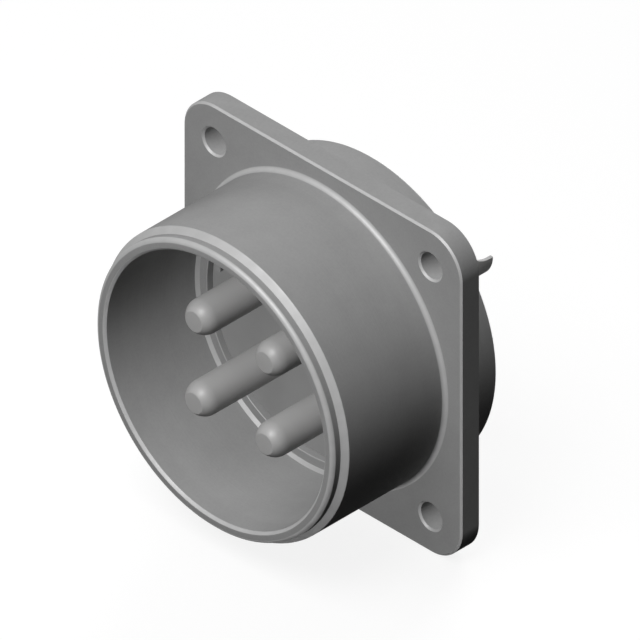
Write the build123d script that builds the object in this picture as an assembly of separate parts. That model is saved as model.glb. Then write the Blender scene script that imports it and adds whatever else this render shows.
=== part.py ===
"""Square-flange receptacle of a circular power connector, with four large pin contacts.

All sizes are in millimetres. Every piece is drawn about the Z axis, where a height is the
distance in front of the panel face, the flange's back. The last step lays the pieces into
the part's own frame: origin at the centre of the panel face, +Z up through the key, and the
pins pointing to -Y.
"""
import os
from math import radians, tan

from build123d import *

# Shell: flange and front barrel
barrel_diameter = 50.6
barrel_length = 22.23
barrel_wall = 2.84
barrel_root_fillet = 0.8
flange_margin = 3.275
flange_thickness = 3.66
flange_corner_radius = 6.35
flange_edge_chamfer = 0.3
hole_edge_distance = 6.35
hole_diameter = 4.4
hole_chamfer = 0.3

# Shell: the reduced nose at the rim, and the mouth
nose_step = 0.93
nose_length = 1.67
nose_cone_length = 0.8
nose_fillet = 0.75
mouth_chamfer = 0.4

# Shell: the stop ring that the insert is pushed against, and the cavity behind it
stop_ledge = 1.97
stop_length = 2.5
stop_offset = 0.7
socket_corner_chamfer = 0.5
insert_seat = 2.5
rear_wall = 2.7
rear_length = 6.64
rear_edge_chamfer = 0.3
groove_depth = 1.1
groove_land = 1.6

# Shell: polarising key in the mouth, and locating key in the cavity
key_width = 1.1
key_height = 1.46
key_set_back = 0.8
key_edge_radius = 0.4
locating_key_width = 3.0
locating_key_height = 1.0

# Insert halves
insert_clearance = 0.1
insert_set_back = 0.85
insert_edge_chamfer = 0.3
front_insert_flange = 4.0
boss_reach = 2.4

# Contacts
pin_diameter = 5.72
pin_tip_diameter = 3.42
pin_set_back = 3.06
shank_step = 0.5
shoulder_step = 0.8
shoulder_length = 1.8
shoulder_chamfer = 0.2
contact_web = 3.5
contact_clearance = 0.05
cup_diameter = 9.4
cup_wall = 0.6
cup_reach = 10.53
cup_depth = 13.0
cup_drill_angle = 118.0
scoop_flat = 0.5
scoop_radius = 5.0

# Washer and retaining ring
washer_thickness = 0.8
washer_clearance = 0.25
ring_thickness = 1.1
ring_play = 0.1
ring_width = 2.4
ring_gap = 8.0
ring_edge_chamfer = 0.2

# Radii that follow, from the mouth to the rear barrel
barrel_radius = barrel_diameter / 2
nose_radius = barrel_radius - nose_step
mouth_radius = barrel_radius - barrel_wall
stop_radius = mouth_radius - stop_ledge
cavity_radius = stop_radius + insert_seat
rear_radius = cavity_radius + rear_wall
groove_radius = cavity_radius + groove_depth
insert_nose_radius = stop_radius - insert_clearance
insert_radius = cavity_radius - insert_clearance
pin_radius = pin_diameter / 2
shank_radius = pin_radius + shank_step
cup_radius = cup_diameter / 2
shoulder_radius = cup_radius + shoulder_step

# Flange and patterns that follow: 57.15 wide, holes 44.45 apart, contacts 14.5 apart
flange_width = barrel_diameter + 2 * flange_margin
hole_spacing = flange_width - 2 * hole_edge_distance
contact_spacing = 2 * shoulder_radius + contact_web

# Heights that follow, from the rim back to the ends of the cups
panel_face = 0.0
flange_front = panel_face + flange_thickness
rim = flange_front + barrel_length
nose_foot = rim - nose_length
cone_foot = nose_foot - nose_cone_length
stop_back = flange_front + stop_offset
stop_front = stop_back + stop_length
insert_face = stop_front - insert_set_back
insert_split = stop_back - front_insert_flange
pin_tip = rim - pin_set_back
shoulder_front = insert_split + shoulder_length
rear_end = panel_face - rear_length
groove_back = rear_end + groove_land
groove_front = groove_back + ring_thickness + ring_play
washer_front = groove_front + washer_thickness
boss_end = rear_end - boss_reach
cup_end = boss_end - cup_reach


def turned(*corners):
    """Solid turned about the Z axis from (radius, height) corners."""
    section = make_face(Polyline(*corners, close=True))
    return revolve(Plane.XZ * section, axis=Axis.Z)


def disc(radius, low, high):
    """Round bar about the Z axis between two heights."""
    return Pos(0, 0, low) * extrude(Circle(radius), amount=high - low)


def round_edges(piece, radius, height):
    """Round edges of one radius at one height, wherever they stand."""
    def matches(edge):
        same_radius = abs(edge.radius - radius) < 0.001
        return same_radius and abs(edge.arc_center.Z - height) < 0.001
    return piece.edges().filter_by(GeomType.CIRCLE).filter_by(matches)


def key_bar(width, inner_radius, outer_radius, low, high, edge_radius=0.0):
    """Straight key along the axis at the top of a bore, its inner edges rounded."""
    middle = (inner_radius + outer_radius) / 2
    section = Pos(0, middle) * Rectangle(width, outer_radius - inner_radius)
    if edge_radius > 0:
        section = fillet(section.vertices().sort_by(Axis.Y)[:2], edge_radius)
    return Pos(0, 0, low) * extrude(section, amount=high - low)


def at_contacts(piece):
    """One copy of a piece on the axis of each contact."""
    return [place * piece for place in GridLocations(contact_spacing, contact_spacing, 2, 2)]


def make_shell():
    """Shell in one piece: flange, barrel with its nose, stop ring, cavity, groove and keys."""
    outline = RectangleRounded(flange_width, flange_width, flange_corner_radius)
    flange = Pos(0, 0, panel_face) * extrude(outline, amount=flange_thickness)
    front_edges = flange.faces().sort_by(Axis.Z)[-1].edges()
    flange = chamfer(front_edges, flange_edge_chamfer)

    hole = disc(hole_diameter / 2, panel_face, flange_front)
    flange -= [place * hole for place in GridLocations(hole_spacing, hole_spacing, 2, 2)]
    for height in (panel_face, flange_front):
        flange = chamfer(round_edges(flange, hole_diameter / 2, height), hole_chamfer)

    body = turned(
        (0, rim),
        (nose_radius, rim),
        (nose_radius, nose_foot),
        (barrel_radius, cone_foot),
        (barrel_radius, panel_face),
        (rear_radius, panel_face),
        (rear_radius, rear_end),
        (0, rear_end),
    )
    shell = flange + body
    shell = fillet(round_edges(shell, barrel_radius, flange_front), barrel_root_fillet)
    shell = fillet(round_edges(shell, nose_radius, rim), nose_fillet)
    shell = chamfer(round_edges(shell, rear_radius, rear_end), rear_edge_chamfer)

    shell -= turned(
        (0, rim),
        (mouth_radius, rim),
        (mouth_radius, stop_front + socket_corner_chamfer),
        (mouth_radius - socket_corner_chamfer, stop_front),
        (stop_radius, stop_front),
        (stop_radius, stop_back),
        (cavity_radius, stop_back),
        (cavity_radius, rear_end),
        (0, rear_end),
    )
    shell = chamfer(round_edges(shell, mouth_radius, rim), mouth_chamfer)
    shell -= disc(groove_radius, groove_back, groove_front)

    front_wall_middle = (mouth_radius + barrel_radius) / 2
    rear_wall_middle = (cavity_radius + rear_radius) / 2
    shell += key_bar(key_width, mouth_radius - key_height, front_wall_middle,
                     stop_front, rim - key_set_back, key_edge_radius)
    shell += key_bar(locating_key_width, cavity_radius - locating_key_height, rear_wall_middle,
                     groove_front, stop_back)
    return shell


def locating_slot():
    """Room for the locating key in the edge of an insert half or the washer."""
    return key_bar(locating_key_width + 2 * insert_clearance,
                   cavity_radius - locating_key_height - insert_clearance,
                   cavity_radius, groove_front, stop_back)


def make_front_insert():
    """Moulded front half: a nose through the stop ring and a flange behind it."""
    insert = disc(insert_nose_radius, stop_back, insert_face)
    insert += disc(insert_radius, insert_split, stop_back)
    insert = chamfer(round_edges(insert, insert_nose_radius, insert_face), insert_edge_chamfer)
    insert -= at_contacts(disc(shank_radius + contact_clearance, insert_split, insert_face))
    insert -= at_contacts(disc(shoulder_radius + contact_clearance, insert_split, shoulder_front))
    return insert - locating_slot()


def make_rear_insert():
    """Moulded rear half: a flange in the cavity and a boss out through the ring."""
    insert = disc(insert_radius, washer_front, insert_split)
    insert += disc(insert_nose_radius, boss_end, washer_front)
    insert = chamfer(round_edges(insert, insert_nose_radius, boss_end), insert_edge_chamfer)
    insert -= at_contacts(disc(cup_radius + contact_clearance, boss_end, insert_split))
    return insert - locating_slot()


def make_contact():
    """Turned contact on the Z axis: domed pin, shank, shoulder, and solder cup with its scoop."""
    tip_radius = pin_tip_diameter / 2
    dome_foot = pin_tip - (pin_radius ** 2 - tip_radius ** 2) ** 0.5
    bore_radius = cup_radius - cup_wall
    bore_floor = cup_end + cup_depth
    drill_point = bore_floor + bore_radius / tan(radians(cup_drill_angle / 2))

    outline = Polyline(
        (pin_radius, dome_foot),
        (pin_radius, insert_face),
        (shank_radius, insert_face),
        (shank_radius, shoulder_front),
        (shoulder_radius, shoulder_front),
        (shoulder_radius, insert_split),
        (cup_radius, insert_split),
        (cup_radius, cup_end),
        (bore_radius, cup_end),
        (bore_radius, bore_floor),
        (0, drill_point),
        (0, pin_tip),
        (tip_radius, pin_tip),
    )
    dome = RadiusArc((tip_radius, pin_tip), (pin_radius, dome_foot), pin_radius)
    contact = revolve(Plane.XZ * make_face([*outline.edges(), dome]), axis=Axis.Z)
    for height in (shoulder_front, insert_split):
        contact = chamfer(round_edges(contact, shoulder_radius, height), shoulder_chamfer)

    scoop_top = cup_radius + scoop_radius
    flat_end = cup_end + scoop_flat
    scoop_foot = flat_end + scoop_radius
    scoop_side = Polyline(
        (scoop_radius, scoop_foot),
        (scoop_top, scoop_foot),
        (scoop_top, cup_end - scoop_flat),
        (0, cup_end - scoop_flat),
        (0, flat_end),
    )
    run_out = TangentArc((0, flat_end), (scoop_radius, scoop_foot), tangent=(0, 1))
    scoop = extrude(Plane.YZ * make_face([*scoop_side.edges(), run_out]),
                    amount=cup_diameter, both=True)
    return contact - scoop


def make_washer():
    """Flat washer between the rear insert's flange and the ring."""
    washer = disc(insert_radius, groove_front, washer_front)
    washer -= disc(insert_nose_radius + washer_clearance, groove_front, washer_front)
    return washer - locating_slot()


def make_ring():
    """Split spring ring, open at the bottom, that snaps into the groove."""
    outer = groove_radius - ring_play
    ring = disc(outer, groove_front - ring_thickness, groove_front)
    ring -= disc(outer - ring_width, groove_front - ring_thickness, groove_front)
    gap_middle = groove_front - ring_thickness / 2
    ring -= Pos(0, -outer, gap_middle) * Box(ring_gap, outer, 2 * ring_thickness)
    return chamfer(round_edges(ring, outer, groove_front - ring_thickness), ring_edge_chamfer)


def main():
    parts = {
        "receptacle_shell": make_shell(),
        "front_insert": make_front_insert(),
        "rear_insert": make_rear_insert(),
        "retaining_washer": make_washer(),
        "retaining_ring": make_ring(),
    }
    for letter, contact in zip("abcd", at_contacts(make_contact())):
        parts["contact_" + letter] = contact

    os.makedirs("parts", exist_ok=True)
    for name, piece in parts.items():
        export_step(Rot(90, 0, 0) * piece, f"parts/{name}.step")


main()
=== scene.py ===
# %% [markdown]
# # A round power connector, from profile to finish
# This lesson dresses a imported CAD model: the panel half of a round connector, with a square
# flange, a smooth coupling barrel, four domed pins inside it and solder cups behind. The CAD
# model is the fixed frame. It gives every place and size, and Blender gives the rounded edges,
# the fine shading and the finishes. Most of the real pieces are turned on a lathe, so the main
# tool here is a profile that is spun about its axis. The flange is milled, so it starts as a
# block and is cut.

# %% Load the frame
import math

import bmesh
import bpy
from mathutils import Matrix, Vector


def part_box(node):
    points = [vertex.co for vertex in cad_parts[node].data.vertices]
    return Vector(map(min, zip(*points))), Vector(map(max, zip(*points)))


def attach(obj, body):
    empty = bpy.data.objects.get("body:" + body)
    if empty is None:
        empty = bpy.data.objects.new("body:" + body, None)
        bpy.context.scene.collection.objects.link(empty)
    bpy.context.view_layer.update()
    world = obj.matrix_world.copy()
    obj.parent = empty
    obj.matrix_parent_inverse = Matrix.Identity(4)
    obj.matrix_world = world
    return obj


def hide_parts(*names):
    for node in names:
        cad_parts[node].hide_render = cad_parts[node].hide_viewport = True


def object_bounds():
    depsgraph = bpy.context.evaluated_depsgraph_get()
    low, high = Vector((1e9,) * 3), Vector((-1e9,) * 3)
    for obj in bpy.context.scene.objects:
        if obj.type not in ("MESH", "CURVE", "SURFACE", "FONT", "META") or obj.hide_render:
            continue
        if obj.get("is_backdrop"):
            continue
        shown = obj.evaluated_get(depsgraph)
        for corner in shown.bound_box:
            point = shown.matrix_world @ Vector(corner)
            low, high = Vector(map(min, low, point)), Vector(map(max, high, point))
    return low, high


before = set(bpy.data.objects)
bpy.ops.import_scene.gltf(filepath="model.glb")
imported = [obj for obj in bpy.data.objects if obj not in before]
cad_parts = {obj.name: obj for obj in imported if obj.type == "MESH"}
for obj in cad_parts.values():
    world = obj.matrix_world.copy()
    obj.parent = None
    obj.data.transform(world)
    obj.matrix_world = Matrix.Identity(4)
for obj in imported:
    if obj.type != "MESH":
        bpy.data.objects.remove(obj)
bpy.ops.object.select_all(action="DESELECT")
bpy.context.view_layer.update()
print("nodes:", ", ".join(sorted(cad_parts)))

# %% [markdown]
# ## Sizes
# The frame's boxes give the outer measures, so nothing that can be read from them is typed
# again. What a box can't tell, such as a bore or a chamfer, is a named value in millimetres
# times `mm`. The axis of the connector lies along Y: the pins point to -Y, the solder cups
# to +Y, and the panel touches the flange at y = 0. No real edge is quite sharp, so
# `edge_break` is the small rounding that most turned edges in view get.

# %% Sizes read from the frame
mm = 0.001
CONTACTS = ("contact_a", "contact_b", "contact_c", "contact_d")

shell_low, shell_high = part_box("receptacle_shell")
front_low, front_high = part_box("front_insert")
rear_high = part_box("rear_insert")[1]
washer_low, washer_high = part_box("retaining_washer")
ring_low, ring_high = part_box("retaining_ring")
contact_low, contact_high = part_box(CONTACTS[0])

flange_half = shell_high.x
rim = shell_low.y
rear_end = shell_high.y
insert_face = front_low.y
insert_split = front_high.y
insert_radius = front_high.x
boss_end = rear_high.y
pin_tip = contact_low.y
cup_end = contact_high.y
shoulder_radius = (contact_high.x - contact_low.x) / 2
print(f"flange {2 * flange_half / mm:.2f} mm, front reach {-rim / mm:.2f} mm")

# %% Sizes that the boxes don't give
panel_face = 0.0
flange_front = -3.66 * mm
flange_corner = 6.35 * mm
flange_chamfer = 0.3 * mm
hole_inset = 6.35 * mm
hole_offset = flange_half - hole_inset
hole_radius = 2.2 * mm

barrel_radius = 25.3 * mm
barrel_root = 0.8 * mm
nose_radius = 24.37 * mm
nose_length = 1.67 * mm
nose_foot = rim + nose_length
nose_round = 0.75 * mm
cone_length = 0.8 * mm
cone_foot = nose_foot + cone_length
mouth_radius = 22.46 * mm
mouth_chamfer = 0.4 * mm
stop_radius = 20.49 * mm
stop_front = -6.86 * mm
stop_back = -4.36 * mm
stop_chamfer = 0.5 * mm
cavity_radius = 22.99 * mm
rear_radius = 25.69 * mm
rear_chamfer = 0.3 * mm
groove_depth = 1.1 * mm
groove_radius = cavity_radius + groove_depth
groove_front = ring_low.y
groove_wall = 1.6 * mm
groove_back = rear_end - groove_wall

edge_break = 0.12 * mm
print(f"barrel {2 * barrel_radius / mm:.2f} mm, socket {(stop_front - rim) / mm:.2f} mm deep")

# %% [markdown]
# ## Drawing and spinning a profile
# On a lathe, a piece is the path of the tool swept round the axis. Blender has the same idea:
# one vertex is extruded from corner to corner, the corners are rounded while the outline is
# still flat, and Spin sweeps it round. Rounding a flat corner costs one vertex bevel, whereas
# the same edge on the finished ring would need a bevel of a hundred and more edges. Spin leaves
# a copy of each point on the axis for every step, so points closer than `weld` are merged, and
# the normals are then made to point outwards.

# %% Small helpers for edit mode
def pick(kind, test):
    """Select the vertices, edges or faces that pass the test, and nothing else."""
    bpy.ops.mesh.select_all(action="DESELECT")
    bpy.ops.mesh.select_mode(type=kind)
    edited = bpy.context.edit_object.data
    mesh = bmesh.from_edit_mesh(edited)
    items = {"VERT": mesh.verts, "EDGE": mesh.edges, "FACE": mesh.faces}[kind]
    for item in [item for item in items if test(item)]:
        item.select = True
    mesh.select_flush_mode()
    bmesh.update_edit_mesh(edited)


def select_only(piece):
    """Make a piece the only selected object, and the active one."""
    bpy.ops.object.select_all(action="DESELECT")
    piece.select_set(True)
    bpy.context.view_layer.objects.active = piece


def start_editing(piece):
    """Open one piece in edit mode."""
    select_only(piece)
    bpy.ops.object.mode_set(mode="EDIT")


def place_in_mesh(piece):
    """Move a piece's place, turn and scale into its mesh, so that its object is at the origin."""
    select_only(piece)
    bpy.ops.object.transform_apply(location=True, rotation=True, scale=True)


def apply_modifier(piece, kind, **settings):
    """Add one modifier to a piece, set it and apply it."""
    select_only(piece)
    bpy.ops.object.modifier_add(type=kind)
    modifier = piece.modifiers[-1]
    for setting, value in settings.items():
        setattr(modifier, setting, value)
    bpy.ops.object.modifier_apply(modifier=modifier.name)


def cut(piece, cutter, operation="DIFFERENCE"):
    """Cut a piece with a cutter, or join the two as one body, and remove the cutter."""
    apply_modifier(piece, "BOOLEAN", object=cutter, operation=operation, solver="EXACT")
    bpy.data.objects.remove(cutter, do_unlink=True)


# %% The profile and its spin
same_place = edge_break / 10
weld = edge_break / 100
round_steps = 5
turn_steps = 144


def draw_outline(name, corners, closed):
    """Extrude one vertex along (radius, y) corners. A third number rounds that corner."""
    start_radius, start_y = corners[0][:2]
    bpy.ops.mesh.primitive_plane_add(size=mm, location=(start_radius, start_y, 0))
    outline = bpy.context.object
    outline.name = name
    bpy.ops.object.mode_set(mode="EDIT")
    bpy.ops.mesh.select_mode(type="VERT")
    bpy.ops.mesh.merge(type="CENTER")
    for here, there in zip(corners, corners[1:]):
        step = (there[0] - here[0], there[1] - here[1], 0)
        bpy.ops.mesh.extrude_vertices_move(TRANSFORM_OT_translate={"value": step})
    bpy.ops.object.mode_set(mode="OBJECT")
    place_in_mesh(outline)
    bpy.ops.object.mode_set(mode="EDIT")
    if closed:
        last_radius, last_y = corners[-1][:2]
        ends = (Vector((start_radius, start_y, 0)), Vector((last_radius, last_y, 0)))
        pick("VERT", lambda vertex: any((vertex.co - end).length < same_place for end in ends))
        bpy.ops.mesh.edge_face_add()
    return outline


def round_corners(corners, closed):
    """Bevel each corner that has a rounding radius, while the outline is flat."""
    count = len(corners)
    for index, corner in enumerate(corners):
        if len(corner) < 3 or (not closed and index in (0, count - 1)):
            continue
        here = Vector(corner[:2])
        before = (here - Vector(corners[index - 1][:2])).normalized()
        after = (Vector(corners[(index + 1) % count][:2]) - here).normalized()
        turn = before.angle(after)
        place = Vector((here.x, here.y, 0))
        pick("VERT", lambda vertex: (vertex.co - place).length < same_place)
        bpy.ops.mesh.bevel(offset=corner[2] * math.tan(turn / 2), segments=round_steps,
                           affect="VERTICES", clamp_overlap=True)


def turned(name, corners, closed=False):
    """A turned piece: outline drawn, corners rounded, spun about the Y axis and cleaned."""
    piece = draw_outline(name, corners, closed)
    round_corners(corners, closed)
    bpy.ops.mesh.select_all(action="SELECT")
    bpy.ops.mesh.spin(steps=turn_steps, angle=2 * math.pi, center=(0, 0, 0), axis=(0, 1, 0))
    bpy.ops.mesh.select_all(action="SELECT")
    bpy.ops.mesh.remove_doubles(threshold=weld)
    bpy.ops.mesh.normals_make_consistent(inside=False)
    bpy.ops.object.mode_set(mode="OBJECT")
    return piece


# %% [markdown]
# ## Cleaning and shading a piece
# Cutting leaves slivers: faces too thin to see that still catch the light. They are dissolved
# first. Then faces that meet at less than `smooth_angle` are shaded as one curve, and sharper
# edges stay sharp. Weighted normals let each large face keep its own direction, so that the
# narrow rounding beside it takes up the change of slope.

# %% Finish a piece's mesh
sliver = 0.001 * mm
smooth_angle = math.radians(28)
flat_face_weight = 100


def smooth(piece, name):
    """Drop the slivers that cutting leaves, then shade curved faces smooth and flat ones flat."""
    start_editing(piece)
    bpy.ops.mesh.select_all(action="SELECT")
    bpy.ops.mesh.dissolve_degenerate(threshold=sliver)
    bpy.ops.mesh.remove_doubles(threshold=sliver)
    bpy.ops.object.mode_set(mode="OBJECT")
    bpy.ops.object.shade_smooth_by_angle(angle=smooth_angle)
    apply_modifier(piece, "WEIGHTED_NORMAL", keep_sharp=True, weight=flat_face_weight)
    piece.name = name
    piece.data.name = name
    print(f"{name}: {len(piece.data.vertices)} vertices, {len(piece.data.polygons)} faces")
    return piece


# %% [markdown]
# ## The shell
# The real shell is machined from one bar: a milled square flange, a turned barrel in front of
# it and a turned sleeve behind. Here it is a block for the flange and one spun outline for the
# whole wall, outside and inside, which a boolean union makes into one body. Drills reach
# `spare` past both faces of the flange, because a boolean is unsure where two faces lie in one
# plane. A chamfer at the block's front edge and a rounded nose at the rim give the bright lines
# that the eye follows.

# %% The milled flange and its holes
corner_steps = 20
spare = 1.0 * mm


def make_flange():
    """Square plate with rounded corners and a chamfered front edge."""
    thickness = panel_face - flange_front
    bpy.ops.mesh.primitive_cube_add(size=1, location=(0, flange_front + thickness / 2, 0))
    plate = bpy.context.object
    plate.scale = (2 * flange_half, thickness, 2 * flange_half)
    place_in_mesh(plate)
    start_editing(plate)
    pick("EDGE", lambda edge: abs(edge.verts[0].co.y - edge.verts[1].co.y) > thickness / 2)
    bpy.ops.mesh.bevel(offset=flange_corner, segments=corner_steps, affect="EDGES")
    pick("EDGE", lambda edge: all(end.co.y < flange_front + edge_break for end in edge.verts))
    bpy.ops.mesh.bevel(offset=flange_chamfer, segments=1, affect="EDGES")
    bpy.ops.object.mode_set(mode="OBJECT")
    return plate


def hole_cutter(x, z):
    """Cutter for one screw hole, flared at both faces of the flange to leave a chamfer."""
    wide = hole_radius + flange_chamfer + spare
    cutter = turned("hole_cutter", [
        (0, flange_front - spare),
        (wide, flange_front - spare),
        (hole_radius, flange_front + flange_chamfer),
        (hole_radius, panel_face - flange_chamfer),
        (wide, panel_face + spare),
        (0, panel_face + spare),
    ])
    cutter.location = (x, 0, z)
    place_in_mesh(cutter)
    return cutter


shell = make_flange()
middle_radius = rear_radius - spare
middle_cutter = turned("middle_cutter", [
    (0, flange_front - spare),
    (middle_radius, flange_front - spare),
    (middle_radius, panel_face + spare),
    (0, panel_face + spare),
])
cut(shell, middle_cutter)
for x in (-hole_offset, hole_offset):
    for z in (-hole_offset, hole_offset):
        cut(shell, hole_cutter(x, z))
print(f"flange: {len(shell.data.polygons)} faces with its holes")

# %% The turned wall
def make_wall():
    """The whole turned wall: nose, barrel, root fillet, rear sleeve, groove, cavity and mouth."""
    buried = (flange_front + panel_face) / 2
    return turned("wall", [
        (mouth_radius + mouth_chamfer, rim, edge_break),
        (nose_radius, rim, nose_round),
        (nose_radius, nose_foot),
        (barrel_radius, cone_foot, 2 * edge_break),
        (barrel_radius, flange_front, barrel_root),
        (barrel_radius + barrel_root, flange_front),
        (barrel_radius + barrel_root, buried),
        (rear_radius, buried),
        (rear_radius, rear_end - rear_chamfer, edge_break),
        (rear_radius - rear_chamfer, rear_end, edge_break),
        (cavity_radius, rear_end, edge_break),
        (cavity_radius, groove_back),
        (groove_radius, groove_back),
        (groove_radius, groove_front),
        (cavity_radius, groove_front),
        (cavity_radius, stop_back),
        (stop_radius, stop_back),
        (stop_radius, stop_front, edge_break),
        (mouth_radius - stop_chamfer, stop_front),
        (mouth_radius, stop_front - stop_chamfer),
        (mouth_radius, rim + mouth_chamfer, edge_break),
    ], closed=True)


cut(shell, make_wall(), operation="UNION")
print(f"flange and wall: {len(shell.data.polygons)} faces")

# %% [markdown]
# ## The two keys
# A round plug could go in at any angle, so the mouth has a polarising key: a narrow straight
# bar along the top of the bore, with rounded edges. A broader key in the cavity behind keeps
# the insulator from turning. Both are short bars, so each is a cube whose inner edges are
# bevelled, sunk into the wall and joined to it.

# %% Keys in the mouth and in the cavity
key_width = 1.1 * mm
key_height = 1.46 * mm
key_set_back = 0.8 * mm
key_round = 0.4 * mm
locating_width = 3.0 * mm
locating_height = 1.0 * mm


def key_bar(width, inner_radius, outer_radius, front, back, rounding):
    """Straight bar along the top of a bore, with its two inner edges rounded."""
    bpy.ops.mesh.primitive_cube_add(
        size=1, location=(0, (front + back) / 2, (inner_radius + outer_radius) / 2))
    bar = bpy.context.object
    bar.scale = (width, back - front, outer_radius - inner_radius)
    place_in_mesh(bar)
    if rounding:
        start_editing(bar)
        pick("EDGE", lambda edge: all(end.co.z < inner_radius + edge_break for end in edge.verts)
             and abs(edge.verts[0].co.y - edge.verts[1].co.y) > key_width)
        bpy.ops.mesh.bevel(offset=rounding, segments=round_steps, affect="EDGES")
        bpy.ops.object.mode_set(mode="OBJECT")
    return bar


mouth_wall_middle = (mouth_radius + barrel_radius) / 2
cavity_wall_middle = (cavity_radius + rear_radius) / 2
cut(shell, key_bar(key_width, mouth_radius - key_height, mouth_wall_middle,
                   rim + key_set_back, stop_front + edge_break, key_round), operation="UNION")
cut(shell, key_bar(locating_width, cavity_radius - locating_height, cavity_wall_middle,
                   stop_back - edge_break, groove_front, 0), operation="UNION")
shell = smooth(shell, "shell")

# %% [markdown]
# ## The insulator
# The insulator is moulded in two halves that clamp the contacts' shoulders between them. Each
# half is a turned disc with four round holes and a notch for the locating key. The front half
# shows as the floor of the socket, and the rear half as the boss that the cups stand out of.
# In front a thin lip closes over each shank, so that the face runs up to the pin with no ring.

# %% Places of the contacts, and their holes
slot_clearance = 0.1 * mm
contact_places = []
for contact in CONTACTS:
    low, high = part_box(contact)
    contact_places.append(((low.x + high.x) / 2, (low.z + high.z) / 2))
print("contacts at", [(round(x / mm, 2), round(z / mm, 2)) for x, z in contact_places], "mm")


def join_spokes(piece):
    """Make each flat end of a turned piece one face, so that no bore grazes a spoke of it."""
    start_editing(piece)
    pick("VERT", lambda vertex: math.hypot(vertex.co.x, vertex.co.z) < sliver)
    bpy.ops.mesh.dissolve_verts()
    bpy.ops.object.mode_set(mode="OBJECT")


def bore(piece, corners):
    """Bore one stepped hole at each contact's place. The corners are the drill's outline."""
    join_spokes(piece)
    for x, z in contact_places:
        drill = turned("drill", corners)
        drill.location = (x, 0, z)
        place_in_mesh(drill)
        cut(piece, drill)


def notch(piece):
    """Cut the notch that the locating key slides into."""
    cut(piece, key_bar(locating_width + 2 * slot_clearance,
                       cavity_radius - locating_height - slot_clearance, rear_radius,
                       stop_back, groove_front, 0))


# %% Front half
boss_radius = 20.39 * mm
insert_chamfer = 0.3 * mm
pin_radius = 2.86 * mm
shank_radius = 3.36 * mm
contact_clearance = 0.05 * mm
lip = 0.5 * mm
shoulder_length = 1.8 * mm
shoulder_front = insert_split - shoulder_length

front_insert = turned("front_insert_body", [
    (0, insert_face),
    (boss_radius - insert_chamfer, insert_face, edge_break),
    (boss_radius, insert_face + insert_chamfer, edge_break),
    (boss_radius, stop_back),
    (insert_radius, stop_back, edge_break),
    (insert_radius, insert_split, edge_break),
    (0, insert_split),
])
pin_hole = pin_radius + contact_clearance
shank_hole = shank_radius + contact_clearance
shoulder_hole = shoulder_radius + contact_clearance
bore(front_insert, [
    (0, insert_face - spare),
    (pin_hole, insert_face - spare),
    (pin_hole, insert_face + lip),
    (shank_hole, insert_face + lip),
    (shank_hole, shoulder_front),
    (shoulder_hole, shoulder_front),
    (shoulder_hole, insert_split + spare),
    (0, insert_split + spare),
])
notch(front_insert)
front_insert = smooth(front_insert, "insulator_front")

# %% Rear half
cup_radius = 4.7 * mm
flare = 0.15 * mm
cup_hole = cup_radius + contact_clearance

rear_insert = turned("rear_insert_body", [
    (0, insert_split),
    (insert_radius, insert_split, edge_break),
    (insert_radius, washer_low.y, edge_break),
    (boss_radius, washer_low.y),
    (boss_radius, boss_end - insert_chamfer, edge_break),
    (boss_radius - insert_chamfer, boss_end, edge_break),
    (0, boss_end),
])
bore(rear_insert, [
    (0, insert_split - spare),
    (cup_hole, insert_split - spare),
    (cup_hole, boss_end - flare),
    (cup_hole + flare + spare, boss_end + spare),
    (0, boss_end + spare),
])
notch(rear_insert)
rear_insert = smooth(rear_insert, "insulator_rear")

# %% [markdown]
# ## The contacts
# Each contact is one turned bar: a domed pin in front, a thicker shank through the insulator,
# a shoulder that the halves clamp, and a drilled cup behind for the wire. The dome is an arc
# of the pin's own radius that stops at a small flat. The cup's open side is the one form that
# a lathe can't make: a mill runs in from the end and sweeps up, so the cutter here is a
# cylinder across the axis, halved and drawn out backwards. The face to draw out is found by
# its normal, which looks along Y when its y is above `facing`.

# %% The turned bar
tip_radius = 1.71 * mm
shoulder_chamfer = 0.2 * mm
cup_wall = 0.6 * mm
cup_depth = 13.0 * mm
drill_half_angle = math.radians(59)
shank_front = insert_face + lip + contact_clearance

dome_steps = 12
dome_foot = pin_tip + math.sqrt(pin_radius ** 2 - tip_radius ** 2)
dome_start = math.asin(tip_radius / pin_radius)
dome = []
for step in range(1, dome_steps + 1):
    angle = dome_start + (math.pi / 2 - dome_start) * step / dome_steps
    dome.append((pin_radius * math.sin(angle), dome_foot - pin_radius * math.cos(angle)))

bore_radius = cup_radius - cup_wall
bore_floor = cup_end - cup_depth
drill_point = bore_floor - bore_radius / math.tan(drill_half_angle)

master = turned("contact_master", [
    (0, pin_tip),
    (tip_radius, pin_tip, edge_break),
    *dome,
    (pin_radius, shank_front),
    (shank_radius, shank_front, edge_break / 2),
    (shank_radius, shoulder_front),
    (shoulder_radius, shoulder_front, shoulder_chamfer),
    (shoulder_radius, insert_split, shoulder_chamfer),
    (cup_radius, insert_split),
    (cup_radius, cup_end, edge_break),
    (bore_radius, cup_end, edge_break),
    (bore_radius, bore_floor),
    (0, drill_point),
])
print(f"contact: {(cup_end - pin_tip) / mm:.2f} mm long, {len(master.data.polygons)} faces")

# %% The milled side of the cup
scoop_radius = 5.0 * mm
scoop_flat = 0.5 * mm
scoop_start = cup_end - scoop_flat
scoop_steps = 128
facing = 0.99


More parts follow.
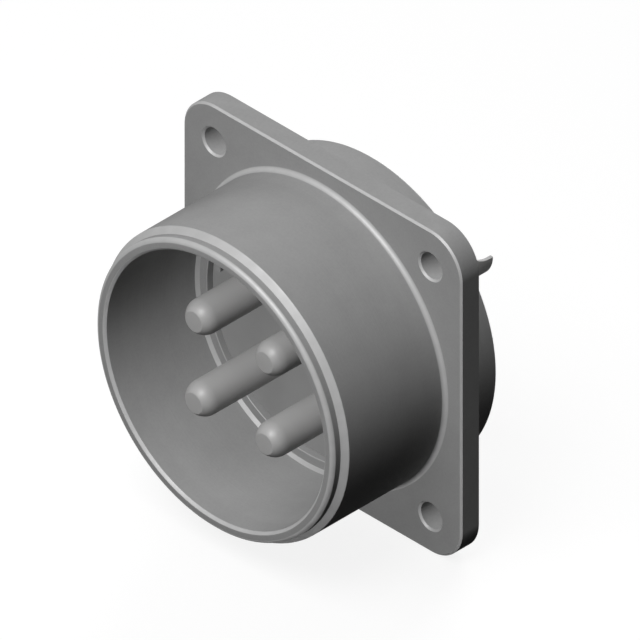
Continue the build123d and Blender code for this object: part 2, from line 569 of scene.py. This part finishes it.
def scoop_cutter():
    """A cylinder across the cup, cut in half and drawn out past the cup's end."""
    bpy.ops.mesh.primitive_cylinder_add(
        vertices=scoop_steps, radius=scoop_radius, depth=4 * cup_radius,
        location=(0, scoop_start, scoop_radius), rotation=(0, math.pi / 2, 0))
    cutter = bpy.context.object
    place_in_mesh(cutter)
    start_editing(cutter)
    bpy.ops.mesh.select_all(action="SELECT")
    bpy.ops.mesh.bisect(plane_co=(0, scoop_start, 0), plane_no=(0, 1, 0),
                        use_fill=True, clear_outer=True)
    pick("FACE", lambda face: face.normal.y > facing)
    bpy.ops.mesh.extrude_region_move(TRANSFORM_OT_translate={"value": (0, 2 * scoop_flat, 0)})
    bpy.ops.mesh.select_all(action="SELECT")
    bpy.ops.mesh.normals_make_consistent(inside=False)
    bpy.ops.object.mode_set(mode="OBJECT")
    return cutter


cut(master, scoop_cutter())
print(f"with its scoop: {len(master.data.polygons)} faces")

# %% Four copies, each with its own mesh
contacts = []
for node, (x, z) in zip(CONTACTS, contact_places):
    select_only(master)
    bpy.ops.object.duplicate()
    copy = bpy.context.object
    copy.location = (x, 0, z)
    place_in_mesh(copy)
    contacts.append(smooth(copy, node.replace("contact", "pin_and_cup")))
bpy.data.objects.remove(master, do_unlink=True)

# %% [markdown]
# ## Washer and ring
# Behind the insulator a flat washer takes the push of a spring ring, which snaps into the
# shell's groove. The ring is stamped and split, with its gap at the bottom. Only their inner
# edges show, from behind, round the boss.

# %% Washer and split ring
washer_clearance = 0.25 * mm
washer = turned("washer_body", [
    (boss_radius + washer_clearance, washer_low.y, edge_break),
    (insert_radius, washer_low.y, edge_break),
    (insert_radius, washer_high.y, edge_break),
    (boss_radius + washer_clearance, washer_high.y, edge_break),
], closed=True)
notch(washer)
washer = smooth(washer, "washer")

ring_outer = ring_high.x
ring_width = 2.4 * mm
ring_gap = 8.0 * mm
ring = turned("ring_body", [
    (ring_outer - ring_width, ring_low.y, edge_break),
    (ring_outer, ring_low.y, edge_break),
    (ring_outer, ring_high.y, 2 * edge_break),
    (ring_outer - ring_width, ring_high.y, 2 * edge_break),
], closed=True)
bpy.ops.mesh.primitive_cube_add(size=1, location=(0, ring_low.y, -ring_outer))
gap_cutter = bpy.context.object
gap_cutter.scale = (ring_gap, ring_outer, ring_outer)
place_in_mesh(gap_cutter)
cut(ring, gap_cutter)
ring = smooth(ring, "spring_ring")

# %% [markdown]
# ## Effects that the finishes share
# Three effects come back in several finishes, so each is a shader node group. Grain is the fine
# tooth of a blasted or moulded surface. Lathe lines are the rings that a tool leaves: they
# follow the distance from the axis plus the place along it, so one noise in one dimension draws
# rings on faces and on cylinders alike. The edge mask marks what lies neither along nor square
# to the axis: on a turned piece those are just the chamfers, cones and rounded edges, which
# handling wears first. The finishes lighten them by it, partly as wear and partly as a painted
# highlight.

# %% Helpers for node trees
def new_group(name, inputs, outputs):
    """Empty shader node group with named float or vector sockets."""
    group = bpy.data.node_groups.new(name, "ShaderNodeTree")
    for socket, kind in inputs:
        group.interface.new_socket(socket, in_out="INPUT", socket_type=kind)
    for socket, kind in outputs:
        group.interface.new_socket(socket, in_out="OUTPUT", socket_type=kind)
    entry = group.nodes.new("NodeGroupInput")
    leave = group.nodes.new("NodeGroupOutput")
    return group, entry, leave


def math_node(tree, operation, first, second=None):
    """Math node. Each operand is an output to link or a number to set."""
    node = tree.nodes.new("ShaderNodeMath")
    node.operation = operation
    for socket, value in zip(node.inputs, (first, second)):
        if isinstance(value, bpy.types.NodeSocket):
            tree.links.new(value, socket)
        elif value is not None:
            socket.default_value = value
    return node.outputs[0]


def noise_node(tree, scale, detail, dimensions="3D", vector=None, w=None):
    """Noise texture whose scale is an output or a number. Returns its Factor output."""
    node = tree.nodes.new("ShaderNodeTexNoise")
    node.noise_dimensions = dimensions
    node.inputs["Detail"].default_value = detail
    for name, value in (("Scale", scale), ("Vector", vector), ("W", w)):
        if isinstance(value, bpy.types.NodeSocket):
            tree.links.new(value, node.inputs[name])
        elif value is not None:
            node.inputs[name].default_value = value
    return node.outputs["Fac"]


def ramp(tree, value, source, target):
    """Clamped Map Range node, from the source range to the target range."""
    node = tree.nodes.new("ShaderNodeMapRange")
    tree.links.new(value, node.inputs["Value"])
    for name, limit in zip(("From Min", "From Max", "To Min", "To Max"), (*source, *target)):
        node.inputs[name].default_value = limit
    return node.outputs["Result"]


def mixed(tree, first, second, share):
    """Weighted sum of two values. Share is the weight of the first."""
    return math_node(tree, "ADD", math_node(tree, "MULTIPLY", first, share),
                     math_node(tree, "MULTIPLY", second, 1 - share))


# %% Grain
FLOAT = "NodeSocketFloat"
VECTOR = "NodeSocketVector"
PER_METRE = 1 / mm


def make_grain():
    """Fine tooth of a surface, its speckle and a slow drift of tone. Size is in millimetres."""
    noises = (("Height", 1.0, 3.0), ("Speckle", 0.3, 2.0), ("Drift", 0.03, 2.0))
    group, entry, leave = new_group(
        "grain", [("Vector", VECTOR), ("Size", FLOAT)],
        [(output, FLOAT) for output, _, _ in noises])
    scale = math_node(group, "DIVIDE", PER_METRE, entry.outputs["Size"])
    for output, fineness, detail in noises:
        own_scale = math_node(group, "MULTIPLY", scale, fineness)
        noise = noise_node(group, own_scale, detail, vector=entry.outputs["Vector"])
        group.links.new(noise, leave.inputs[output])
    return group


grain = make_grain()
print("group:", grain.name, "with", len(grain.nodes), "nodes")

# %% Lathe lines
def make_lathe_lines():
    """Rings left by a turning tool about the Y axis. Pitch is in millimetres."""
    line_scale = 1.0
    streak_scale = 0.12
    group, entry, leave = new_group(
        "lathe_lines", [("Vector", VECTOR), ("Pitch", FLOAT)],
        [("Height", FLOAT), ("Streak", FLOAT)])
    split = group.nodes.new("ShaderNodeSeparateXYZ")
    group.links.new(entry.outputs["Vector"], split.inputs[0])
    across = math_node(group, "MULTIPLY", split.outputs["X"], split.outputs["X"])
    up = math_node(group, "MULTIPLY", split.outputs["Z"], split.outputs["Z"])
    radius = math_node(group, "SQRT", math_node(group, "ADD", across, up))
    path = math_node(group, "ADD", radius, split.outputs["Y"])
    turns = math_node(group, "MULTIPLY", path, PER_METRE)
    turns = math_node(group, "DIVIDE", turns, entry.outputs["Pitch"])
    height = noise_node(group, line_scale, detail=2.0, dimensions="1D", w=turns)
    streak = noise_node(group, streak_scale, detail=3.0, dimensions="1D", w=turns)
    group.links.new(height, leave.inputs["Height"])
    group.links.new(streak, leave.inputs["Streak"])
    return group


lathe_lines = make_lathe_lines()
print("group:", lathe_lines.name, "with", len(lathe_lines.nodes), "nodes")

# %% Edge mask for wear and painted highlight
FULL = (0.0, 1.0)
FALLING = (1.0, 0.0)


def make_wear_and_highlight_edge():
    """Mask for wear and painted highlight on chamfers and rounded edges: 1 where the surface
    slopes to the Y axis.
    """
    side_limits = (0.06, 0.2)
    end_limits = (0.97, 0.995)
    patch_scale = 0.5 * PER_METRE
    patch_limits = (0.35, 0.65)
    group, entry, leave = new_group(
        "wear_and_highlight_edge", [("Normal", VECTOR), ("Vector", VECTOR), ("Patchiness", FLOAT)],
        [("Mask", FLOAT)])
    split = group.nodes.new("ShaderNodeSeparateXYZ")
    group.links.new(entry.outputs["Normal"], split.inputs[0])
    along = math_node(group, "ABSOLUTE", split.outputs["Y"])
    leaves_side = ramp(group, along, side_limits, FULL)
    leaves_end = ramp(group, along, end_limits, FALLING)
    slope = math_node(group, "MULTIPLY", leaves_side, leaves_end)
    noise = noise_node(group, patch_scale, detail=3.0, vector=entry.outputs["Vector"])
    patches = ramp(group, noise, patch_limits, FULL)
    thin = math_node(group, "MULTIPLY", patches, entry.outputs["Patchiness"])
    keep = math_node(group, "SUBTRACT", 1.0, thin)
    group.links.new(math_node(group, "MULTIPLY", slope, keep), leave.inputs["Mask"])
    return group


wear_and_highlight_edge = make_wear_and_highlight_edge()
print("group:", wear_and_highlight_edge.name, "with", len(wear_and_highlight_edge.nodes), "nodes")

# %% [markdown]
# ## Finishes
# Every piece in the photograph is the same neutral grey, so the finishes stay close in tone and
# part by their gloss and texture. A colour is a blend between the darkest and the lightest tone
# that a piece shows, and a shared group says how much of each. Constant values sit on the
# shader's own sockets.

# %% Helpers for materials
def new_material(name, **constants):
    """Material whose shader has its constant values, and the coordinates that it reads."""
    material = bpy.data.materials.new(name)
    material.use_nodes = True
    tree = material.node_tree
    shader = tree.nodes["Principled BSDF"]
    for socket, value in constants.items():
        shader.inputs[socket.replace("_", " ")].default_value = value
    coordinates = tree.nodes.new("ShaderNodeTexCoord").outputs
    return material, tree, shader, coordinates


def add_group(tree, group, coordinates, **settings):
    """One effect group in a material, fed with the coordinates and its own values."""
    node = tree.nodes.new("ShaderNodeGroup")
    node.node_tree = group
    tree.links.new(coordinates["Object"], node.inputs["Vector"])
    if "Normal" in node.inputs:
        tree.links.new(coordinates["Normal"], node.inputs["Normal"])
    for socket, value in settings.items():
        node.inputs[socket].default_value = value
    return node


def grey(value, warmth=0.0):
    """Linear grey, a touch warm where warmth is above 0."""
    return (value * (1 + warmth), value, value * (1 - warmth), 1)


def blend(tree, factor, low, high):
    """Colour between two others by a factor. Each may be a colour or an output."""
    mix = tree.nodes.new("ShaderNodeMix")
    mix.data_type = "RGBA"
    tree.links.new(factor, mix.inputs["Factor"])
    for socket, colour in ((mix.inputs["A"], low), (mix.inputs["B"], high)):
        if isinstance(colour, bpy.types.NodeSocket):
            tree.links.new(colour, socket)
        else:
            socket.default_value = colour
    return mix.outputs["Result"]


def feed(shader, socket, output):
    """Link an output to one of the shader's own sockets."""
    shader.id_data.links.new(output, shader.inputs[socket])


def bump(tree, height, shader, distance, before=None):
    """Bump node that feeds the shader's normal. Distance is the full height in metres."""
    node = tree.nodes.new("ShaderNodeBump")
    node.inputs["Distance"].default_value = distance
    tree.links.new(height, node.inputs["Height"])
    if before:
        tree.links.new(before, node.inputs["Normal"])
    feed(shader, "Normal", node.outputs["Normal"])
    return node.outputs["Normal"]


# %% [markdown]
# ## Plating of the shell
# The shell is plated aluminium, blasted to a matte grey. Its chamfers and rounded edges are
# rubbed lighter and glossier, and the lighter colour there is also a painted highlight. A fully
# metallic surface would mirror its surroundings, and blasting scatters the light instead, so
# Metallic is 0 on the faces and rises only at the edges. Two bumps follow each other: first the
# tooth, then the rings that the tool left.

# %% Satin plating
def make_plating():
    """Satin grey plating: blasted tooth, turning rings, and edges lighter by wear and painted
    highlight.
    """
    darkest = grey(0.28)
    lightest = grey(0.38)
    wear_and_highlight_grey = grey(0.48)
    metallic = (0.0, 0.28)
    roughness = (0.48, 0.6)
    edge_polish = 0.2
    material, tree, shader, place = new_material("satin_plating", Specular_IOR_Level=0.0)
    tooth = add_group(tree, grain, place, Size=0.12)
    rings = add_group(tree, lathe_lines, place, Pitch=0.3)
    edges = add_group(tree, wear_and_highlight_edge, place, Patchiness=0.15).outputs["Mask"]
    drift = mixed(tree, tooth.outputs["Drift"], rings.outputs["Streak"], share=0.6)
    tone = mixed(tree, drift, tooth.outputs["Speckle"], share=0.6)
    plain = blend(tree, tone, darkest, lightest)
    polish = math_node(tree, "SUBTRACT", drift, math_node(tree, "MULTIPLY", edges, edge_polish))
    # Edge colour: lighter partly as rubbed wear, partly as a painted highlight.
    feed(shader, "Base Color", blend(tree, edges, plain, wear_and_highlight_grey))
    feed(shader, "Metallic", ramp(tree, edges, FULL, metallic))
    feed(shader, "Roughness", ramp(tree, polish, FULL, roughness))
    normal = bump(tree, tooth.outputs["Height"], shader, distance=0.006 * mm)
    bump(tree, rings.outputs["Height"], shader, distance=0.01 * mm, before=normal)
    return material


# %% [markdown]
# ## Moulding of the insulator
# The insulator is a hard moulding, matte and faintly flecked with its filler. It has no tool
# marks, but its edges are paler in patches, partly as wear and partly as a painted highlight.
# Roughness follows the same noise as the bump, so that gloss and grain belong together. Noise
# rarely leaves the middle of its range, so `NOISE_SPAN` is the stretch of it that is spread
# over the roughness.

# %% Moulded insulator
NOISE_SPAN = (0.3, 0.7)


def make_moulding():
    """Hard moulded insulator: matte, faintly flecked with filler."""
    darkest = grey(0.30)
    lightest = grey(0.36)
    wear_and_highlight_grey = grey(0.52)
    roughness = (0.46, 0.6)
    material, tree, shader, place = new_material("moulded_insulator", Specular_IOR_Level=0.03)
    tooth = add_group(tree, grain, place, Size=0.2)
    edges = add_group(tree, wear_and_highlight_edge, place, Patchiness=0.6).outputs["Mask"]
    plain = blend(tree, tooth.outputs["Drift"], darkest, lightest)
    # Edge colour: paler partly as wear, partly as a painted highlight.
    feed(shader, "Base Color", blend(tree, edges, plain, wear_and_highlight_grey))
    feed(shader, "Roughness", ramp(tree, tooth.outputs["Height"], NOISE_SPAN, roughness))
    bump(tree, tooth.outputs["Height"], shader, distance=0.008 * mm)
    return material


# %% [markdown]
# ## Silver of the contacts
# The contacts are turned metal under dull silver plate, smooth enough for a soft gleam on each
# dome. Bright silver is fully metallic and would mirror the dark walls of the socket. The
# photograph shows an even light grey instead, so Metallic stays low, and the tool's rings only
# change the roughness.

# %% Silver plating
def make_silver():
    """Dull silver plating over turned metal, with fine tool marks."""
    darkest = grey(0.40, warmth=0.005)
    lightest = grey(0.45, warmth=0.005)
    roughness = (0.38, 0.48)
    material, tree, shader, place = new_material(
        "silver_plating", Metallic=0.1, Specular_IOR_Level=0.0)
    rings = add_group(tree, lathe_lines, place, Pitch=0.1)
    tooth = add_group(tree, grain, place, Size=0.15)
    feed(shader, "Base Color", blend(tree, tooth.outputs["Drift"], darkest, lightest))
    feed(shader, "Roughness", ramp(tree, rings.outputs["Streak"], NOISE_SPAN, roughness))
    bump(tree, tooth.outputs["Height"], shader, distance=0.002 * mm)
    return material


# %% [markdown]
# ## Fibre and spring steel
# Only a narrow ring of each of these shows, from behind. The washer is pressed fibre, dark,
# rough and uneven. The ring is spring steel, the one fully metallic finish here, with marks
# that follow its round.

# %% Pressed fibre and spring steel
def make_fibre():
    """Pressed fibre sheet of the washer."""
    darkest = grey(0.08, warmth=0.03)
    lightest = grey(0.2, warmth=0.03)
    roughness = (0.7, 0.85)
    material, tree, shader, place = new_material("pressed_fibre", Metallic=0.0)
    tooth = add_group(tree, grain, place, Size=0.3)
    feed(shader, "Base Color", blend(tree, tooth.outputs["Height"], darkest, lightest))
    feed(shader, "Roughness", ramp(tree, tooth.outputs["Drift"], NOISE_SPAN, roughness))
    bump(tree, tooth.outputs["Height"], shader, distance=0.02 * mm)
    return material


def make_spring_steel():
    """Bright spring steel of the ring, with marks that follow its round."""
    darkest = grey(0.3)
    lightest = grey(0.42)
    roughness = (0.28, 0.42)
    material, tree, shader, place = new_material("spring_steel", Metallic=1.0)
    rings = add_group(tree, lathe_lines, place, Pitch=0.08)
    feed(shader, "Base Color", blend(tree, rings.outputs["Streak"], darkest, lightest))
    feed(shader, "Roughness", ramp(tree, rings.outputs["Height"], NOISE_SPAN, roughness))
    bump(tree, rings.outputs["Height"], shader, distance=0.003 * mm)
    return material


# %% [markdown]
# ## Pieces on the frame
# Each finished piece gets its material and stands in for its CAD node, which stays in the
# frame but is hidden. Nothing on this object moves, so all pieces ride on the one body, root.

# %% Dress each piece and hang it on the frame
def dress(piece, material, slot, *nodes):
    """Give a piece its finish, its body and the CAD nodes that it replaces. The slot is not used.
    """
    piece.data.materials.clear()
    piece.data.materials.append(material)
    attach(piece, "root")
    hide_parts(*nodes)
    print(f"{piece.name}: {material.name} for {', '.join(nodes)}")


moulding = make_moulding()
silver = make_silver()
dress(shell, make_plating(), "shell", "receptacle_shell")
dress(front_insert, moulding, "insert", "front_insert")
dress(rear_insert, moulding, "insert", "rear_insert")
for contact, node in zip(contacts, CONTACTS):
    dress(contact, silver, "contact", node)
dress(washer, make_fibre(), "washer", "retaining_washer")
dress(ring, make_spring_steel(), "ring", "retaining_ring")

# %% [markdown]
# ## Floor and world
# The photograph is a plain drawing on white, so the floor is plain and pale. For the camera,
# and for what mirrors or passes light, it is near white and still takes the object's shadow.
# For the light that it bounces back it is dark, and so is the object's underside, as in the
# drawing. The world works the same way: white where it is seen, and a dim even fill otherwise.

# %% Floor and world
floor_size = 6
floor_seen = grey(0.9)
floor_bounce = grey(0.03)
glow_strength = 1.15
glow_share = 0.6
white = grey(1.0)
dim_fill = 0.02


def white_where_seen(tree):
    """1 for camera, glossy and transmission rays, 0 for the light that bounces."""
    path = tree.nodes.new("ShaderNodeLightPath")
    seen = math_node(tree, "MAXIMUM", path.outputs["Is Camera Ray"], path.outputs["Is Glossy Ray"])
    return math_node(tree, "MAXIMUM", seen, path.outputs["Is Transmission Ray"])


def make_floor():
    """Pale floor that the object stands on."""
    bpy.ops.mesh.primitive_plane_add(size=floor_size, location=(0, 0, shell_low.z))
    floor = bpy.context.object
    floor.name = "floor"
    material = bpy.data.materials.new("pale_floor")
    material.use_nodes = True
    tree = material.node_tree
    tree.nodes.clear()
    bounce = tree.nodes.new("ShaderNodeBsdfDiffuse")
    bounce.inputs["Color"].default_value = floor_bounce
    pale = tree.nodes.new("ShaderNodeBsdfDiffuse")
    pale.inputs["Color"].default_value = floor_seen
    glow = tree.nodes.new("ShaderNodeEmission")
    glow.inputs["Color"].default_value = white
    glow.inputs["Strength"].default_value = glow_strength
    seen = tree.nodes.new("ShaderNodeMixShader")
    seen.inputs["Fac"].default_value = glow_share
    tree.links.new(pale.outputs[0], seen.inputs[1])
    tree.links.new(glow.outputs[0], seen.inputs[2])
    choose = tree.nodes.new("ShaderNodeMixShader")
    tree.links.new(white_where_seen(tree), choose.inputs["Fac"])
    tree.links.new(bounce.outputs[0], choose.inputs[1])
    tree.links.new(seen.outputs[0], choose.inputs[2])
    leave = tree.nodes.new("ShaderNodeOutputMaterial")
    tree.links.new(choose.outputs[0], leave.inputs["Surface"])
    floor.data.materials.append(material)
    floor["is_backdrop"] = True


def make_world():
    """White where it is seen, a dim even fill otherwise."""
    world = bpy.data.worlds.new("studio")
    bpy.context.scene.world = world
    world.use_nodes = True
    tree = world.node_tree
    background = tree.nodes["Background"]
    background.inputs["Color"].default_value = white
    strength = ramp(tree, white_where_seen(tree), FULL, (dim_fill, 1.0))
    tree.links.new(strength, background.inputs["Strength"])


make_floor()
make_world()
print(f"floor at z = {shell_low.z / mm:.2f} mm")

# %% [markdown]
# ## Lamps
# The drawing is lit from above and in front. It shades each face by its slope and has no cast
# shadows. So the key lamp stands there and casts none, which lets it reach down into the
# socket. A wide, weaker lamp higher up casts the soft shadows that set the object on the
# floor. The rear lamp, behind on the left, lights the cups and the rear insulator, which only
# a view from behind shows.

# %% Lamps
lamp_distance = 0.9
wide_lamp = 0.6
small_lamp = 0.35


def add_lamp(name, direction, power, size, casts_shadow=True):
    """Square soft lamp in a direction from the object, aimed at it. Power is in watts."""
    towards = Vector(direction).normalized()
    bpy.ops.object.light_add(type="AREA", location=towards * lamp_distance)
    lamp = bpy.context.object
    lamp.name = name
    lamp.data.shape = "SQUARE"
    lamp.data.size = size
    lamp.data.energy = power
    lamp.data.use_shadow = casts_shadow
    lamp.rotation_euler = towards.to_track_quat("Z", "Y").to_euler()
    print(f"{name}: {power} W, {size} m wide")


add_lamp("key_lamp", direction=(0.13, -0.63, 0.77), power=5.6, size=small_lamp,
         casts_shadow=False)
add_lamp("top_lamp", direction=(0.0, -0.45, 0.89), power=2.4, size=wide_lamp)
add_lamp("rear_lamp", direction=(-0.5, 0.82, 0.28), power=5.0, size=wide_lamp)

# %% [markdown]
# ## Camera
# The picture is a true isometric view: the three axes are equally foreshortened, and parallel
# lines stay parallel. So the camera is orthographic, looks down the cube's diagonal, and its
# frame is as wide as the 640 pixels of the picture are at the drawing's scale.

# %% Camera
picture_width = 640
pixels_per_mm = 6.882
flange_centre_pixel = (322.13, 329.22)
camera_distance = 0.5
nearest_seen = 0.01
farthest_seen = 10

back = Vector((1, -1, 1)).normalized()
right = Vector((1, 1, 0)).normalized()
up = back.cross(right)
metres_per_pixel = mm / pixels_per_mm
offset_right = (picture_width / 2 - flange_centre_pixel[0]) * metres_per_pixel
offset_up = (flange_centre_pixel[1] - picture_width / 2) * metres_per_pixel
target = Vector((0, flange_front, 0)) + right * offset_right + up * offset_up

bpy.ops.object.camera_add(location=target + back * camera_distance)
camera = bpy.context.object
camera.rotation_euler = back.to_track_quat("Z", "Y").to_euler()
camera.data.type = "ORTHO"
camera.data.ortho_scale = picture_width * metres_per_pixel
camera.data.clip_start = nearest_seen
camera.data.clip_end = farthest_seen
bpy.context.scene.camera = camera
bpy.context.scene.view_settings.view_transform = "Standard"
print(f"the camera sees {picture_width / pixels_per_mm:.1f} mm across")

# %% [markdown]
# ## Sizes once more
# A finish must not change the object's size. So the box of the dressed object is measured and
# printed.

# %% Measure the dressed object's box, and finish
low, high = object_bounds()
print("dressed object:", [round((far - near) / mm, 2) for near, far in zip(low, high)], "mm")
